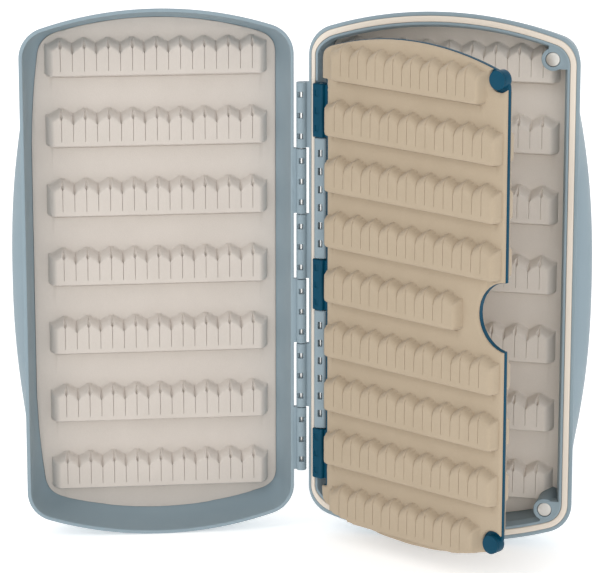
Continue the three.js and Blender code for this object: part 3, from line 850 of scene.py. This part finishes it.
def linear(red, green, blue):
    # screen colour 0-255 to linear light: ((c + 0.055) / 1.055) ** 2.4, or c / 12.92 when dark
    c = np.array([red, green, blue]) / 255
    c = np.where(c <= 0.04045, c / 12.92, ((c + 0.055) / 1.055) ** 2.4)
    return (*[float(v) for v in c], 1.0)


def spread(finish, value):
    # stretches a noise's middle, 0.3 to 0.7, over 0 to 1
    middle = {"Value": value, "From Min": 0.3, "From Max": 0.7}
    return finish.node("ShaderNodeMapRange", dict(clamp=True), middle)


def noise(finish, scale, detail=2.0, stretch=None, roughness=0.5):
    # noise on Object coordinates, scale in cycles a metre
    where = finish.node("ShaderNodeTexCoord", out=3)
    if stretch:
        where = finish.node("ShaderNodeMapping", None, {"Vector": where, "Scale": stretch})
    values = {"Vector": where, "Scale": scale, "Detail": detail, "Roughness": roughness}
    return finish.node("ShaderNodeTexNoise", None, values)


def tinted(finish, share, first, second):
    # a mix of two colours
    colours = {"Factor": share, 6: linear(*first), 7: linear(*second)}
    return finish.node("ShaderNodeMix", dict(data_type="RGBA"), colours, out=2)


def bumped(finish, height, strength, distance):
    # a normal from a height, distance in metres
    return finish.node("ShaderNodeBump", None, {"Height": height, "Strength": strength, "Distance": distance})


def mouldedPlastic(name, base, deep, roughness, gloss):
    # satin moulded resin: colour is a faint cloud between two tones, roughness its value + 0.1 (noise - 0.5),
    # height 0.6 of a fine spark-eroded grain + 0.4 of a slow ripple
    f = Finish(name)
    cloud = spread(f, noise(f, 28, 3))
    grain = noise(f, 2600, 2, roughness=0.6)
    ripple = noise(f, 60, 1)
    return f.surface({
        "Base Color": tinted(f, cloud, base, deep),
        "Roughness": roughness + 0.1 * (spread(f, noise(f, 90, 2)) - 0.5),
        "Normal": bumped(f, grain * 0.6 + ripple * 0.4, 0.12, 0.00012),
        "Specular IOR Level": gloss, "IOR": 1.5})


def closedFoam(name, base, deep):
    # closed-cell foam: colour mixes two tones by 0.65 patch + 0.35 speck, height is half cells under half a
    # millimetre and half finer noise, and a dry, wide sheen lies over it
    f = Finish(name)
    where = f.node("ShaderNodeTexCoord", out=3)
    cells = f.node("ShaderNodeTexVoronoi", dict(feature="F1"), {"Vector": where, "Scale": 2400.0})
    fine = noise(f, 5200, 2)
    patch = spread(f, noise(f, 70, 4, roughness=0.6))
    speck = spread(f, noise(f, 1500, 2))
    return f.surface({
        "Base Color": tinted(f, patch * 0.65 + speck * 0.35, base, deep),
        "Roughness": 0.86 + 0.08 * (patch - 0.5),
        "Normal": bumped(f, cells * 0.5 + fine * 0.5, 0.35, 0.00012),
        "Specular IOR Level": 0.22, "Sheen Weight": 0.12, "Sheen Roughness": 0.6})


def metal(name, base, deep, roughness, stretch):
    # drawn or plated metal: fine lines set the bump and, as value + 0.14 (lines - 0.5), the roughness
    f = Finish(name)
    lines = spread(f, noise(f, 900, 3, stretch))
    bloom = spread(f, noise(f, 240, 3))
    return f.surface({
        "Base Color": tinted(f, bloom, base, deep), "Metallic": 1.0,
        "Roughness": roughness + 0.14 * (lines - 0.5),
        "Normal": bumped(f, lines, 0.08, 0.00004)})


# one finish for each of the record's slots: two screen tones, then roughness and gloss or stretch
finishes = {
    "shell": mouldedPlastic("slateResin", (140, 157, 166), (135, 152, 161), 0.52, 0.3),
    # the lid and base mats are one foam given lit and shaded copies of its tone: the base's is painted
    # lighter, as painted light against the shade it sits in behind the leaf and the tray's walls
    "lid_foam": closedFoam("paleFoam", (203, 195, 187), (197, 189, 181)),
    "base_foam": closedFoam("paleFoamPaintedLight", (226, 218, 209), (220, 212, 203)),
    "leaf_foam": closedFoam("tanFoam", (178, 162, 140), (172, 156, 134)),
    "leaf_plastic": mouldedPlastic("tealResin", (4, 70, 94), (3, 62, 84), 0.4, 0.14),
    "seal": mouldedPlastic("creamRubber", (226, 216, 203), (221, 210, 197), 0.62, 0.25),
    "hinge_steel": metal("drawnSteel", (214, 214, 212), (196, 197, 197), 0.3, (1, 1, 0.05)),
    "magnet": metal("nickelPlate", (205, 203, 198), (188, 186, 182), 0.38, (1, 1, 1)),
    "adhesive": mouldedPlastic("clearGlue", (205, 200, 186), (198, 192, 178), 0.7, 0.3),
}
print("finishes:", len(finishes))

# piece, body, slot, nodes that it stands for
pieces = [
    (lidShell, "lid", "shell", ["lid_shell"]),
    (baseShell, "base", "shell", ["base_shell"]),
    (lidMat, "lid", "lid_foam", ["lid_mat"]),
    (baseMat, "base", "base_foam", ["base_mat"]),
    (leafFrontMat, "leaf", "leaf_foam", ["leaf_front_mat"]),
    (leafBackMat, "leaf", "leaf_foam", ["leaf_back_mat"]),
    (leafFrame, "leaf", "leaf_plastic", ["leaf_frame"]),
    (rimSeal, "base", "seal", ["rim_seal"]),
    (caps[0], "leaf", "leaf_plastic", ["leaf_magnet_cap_upper"]),
    (caps[1], "leaf", "leaf_plastic", ["leaf_magnet_cap_lower"]),
    (leafMagnets[0], "leaf", "magnet", ["leaf_magnet_upper"]),
    (leafMagnets[1], "leaf", "magnet", ["leaf_magnet_lower"]),
    (baseMagnets[0], "base", "magnet", ["base_magnet_upper"]),
    (baseMagnets[1], "base", "magnet", ["base_magnet_lower"]),
    (mainPin, "base", "hinge_steel", ["main_hinge_pin"]),
    (leafPin, "base", "hinge_steel", ["leaf_hinge_pin"]),
    (lidGlue, "lid", "adhesive", ["lid_mat_adhesive"]),
    (baseGlue, "base", "adhesive", ["base_mat_adhesive"]),
]
for piece, body, slot, nodes in pieces:
    piece.data.materials.clear()
    piece.data.materials.append(finishes[slot])
    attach(piece, body)
    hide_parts(*nodes)
for node in ("leaf_front_adhesive", "leaf_back_adhesive"):  # these two stay as they are and only get a finish
    sheet = frame["nodes"][node]
    sheet.data.materials.clear()
    sheet.data.materials.append(finishes["adhesive"])
print("pieces:", len(pieces))

# the studio, in metres and watts
studio = dict(
    halfWidth=3.2, front=-2.2, bendStart=1.4, bendRadius=0.6, wallTop=2.4, glow=0.36, sky=0.79,
    key=dict(place=(-0.75, -1.15, 1.35), target=(0, 0.02, 0.09), size=0.9, power=4.0),
    fill=dict(place=(0.42, -1.62, 0.36), target=(0.04, 0.02, 0.09), size=1.6, power=8.6))


def makeFloor():
    # a pale sweep: flat, then a quarter circle y = start + r sin a, z = r (1 - cos a), up into a wall
    s = studio
    start, r = s["bendStart"], s["bendRadius"]
    x = np.array([-s["halfWidth"], s["halfWidth"]])
    a = np.linspace(0, np.pi / 2, 24)
    y = np.concatenate([[s["front"]], start + r * np.sin(a), [start + r]])
    z = np.concatenate([[0], r * (1 - np.cos(a)), [s["wallTop"]]])
    points = np.stack(np.broadcast_arrays(x[None, :], y[:, None], z[:, None]), axis=-1).reshape(-1, 3)
    i = np.arange(len(y) - 1)
    faces = np.stack([2 * i, 2 * i + 1, 2 * i + 3, 2 * i + 2], axis=1)
    mesh = bpy.data.meshes.new("studioFloor")
    mesh.from_pydata(points.tolist(), [], faces.tolist())
    mesh.polygons.foreach_set("use_smooth", np.ones(len(faces), bool))
    floor = bpy.data.objects.new("studioFloor", mesh)
    bpy.context.scene.collection.objects.link(floor)
    f = Finish("palePaper")
    paper = tinted(f, spread(f, noise(f, 3, 2)), (252, 252, 252), (249, 249, 249))
    mesh.materials.append(f.surface({
        "Base Color": paper, "Roughness": 0.9, "Specular IOR Level": 0.1,
        "Emission Color": (1, 1, 1, 1), "Emission Strength": s["glow"]}))
    floor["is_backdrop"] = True


def softLight(name, place, target, size, power):
    # a round area light at a place, turned to face its target
    data = bpy.data.lights.new(name, "AREA")
    data.shape, data.size, data.energy = "DISK", size, power
    light = bpy.data.objects.new(name, data)
    bpy.context.scene.collection.objects.link(light)
    light.location = place
    light.rotation_euler = (Vector(target) - Vector(place)).to_track_quat("-Z", "Y").to_euler()


def makeSky(strength):
    # an even white world
    world = bpy.data.worlds.new("whiteRoom")
    bpy.context.scene.world = world
    world.use_nodes = True
    background = world.node_tree.nodes["Background"]
    background.inputs["Color"].default_value = (1, 1, 1, 1)
    background.inputs["Strength"].default_value = strength


makeFloor()
softLight("key", **studio["key"])
softLight("fill", **studio["fill"])
makeSky(studio["sky"])
bpy.context.scene.view_settings.view_transform = "Standard"
print("studio set")

sizes = dict(
    cad=[list(map(float, corner)) for corner in cadBox],
    visual=[list(map(float, corner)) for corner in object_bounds()])
print("sizes in mm:", [[round((h - l) * 1000, 2) for l, h in zip(*box)] for box in sizes.values()])
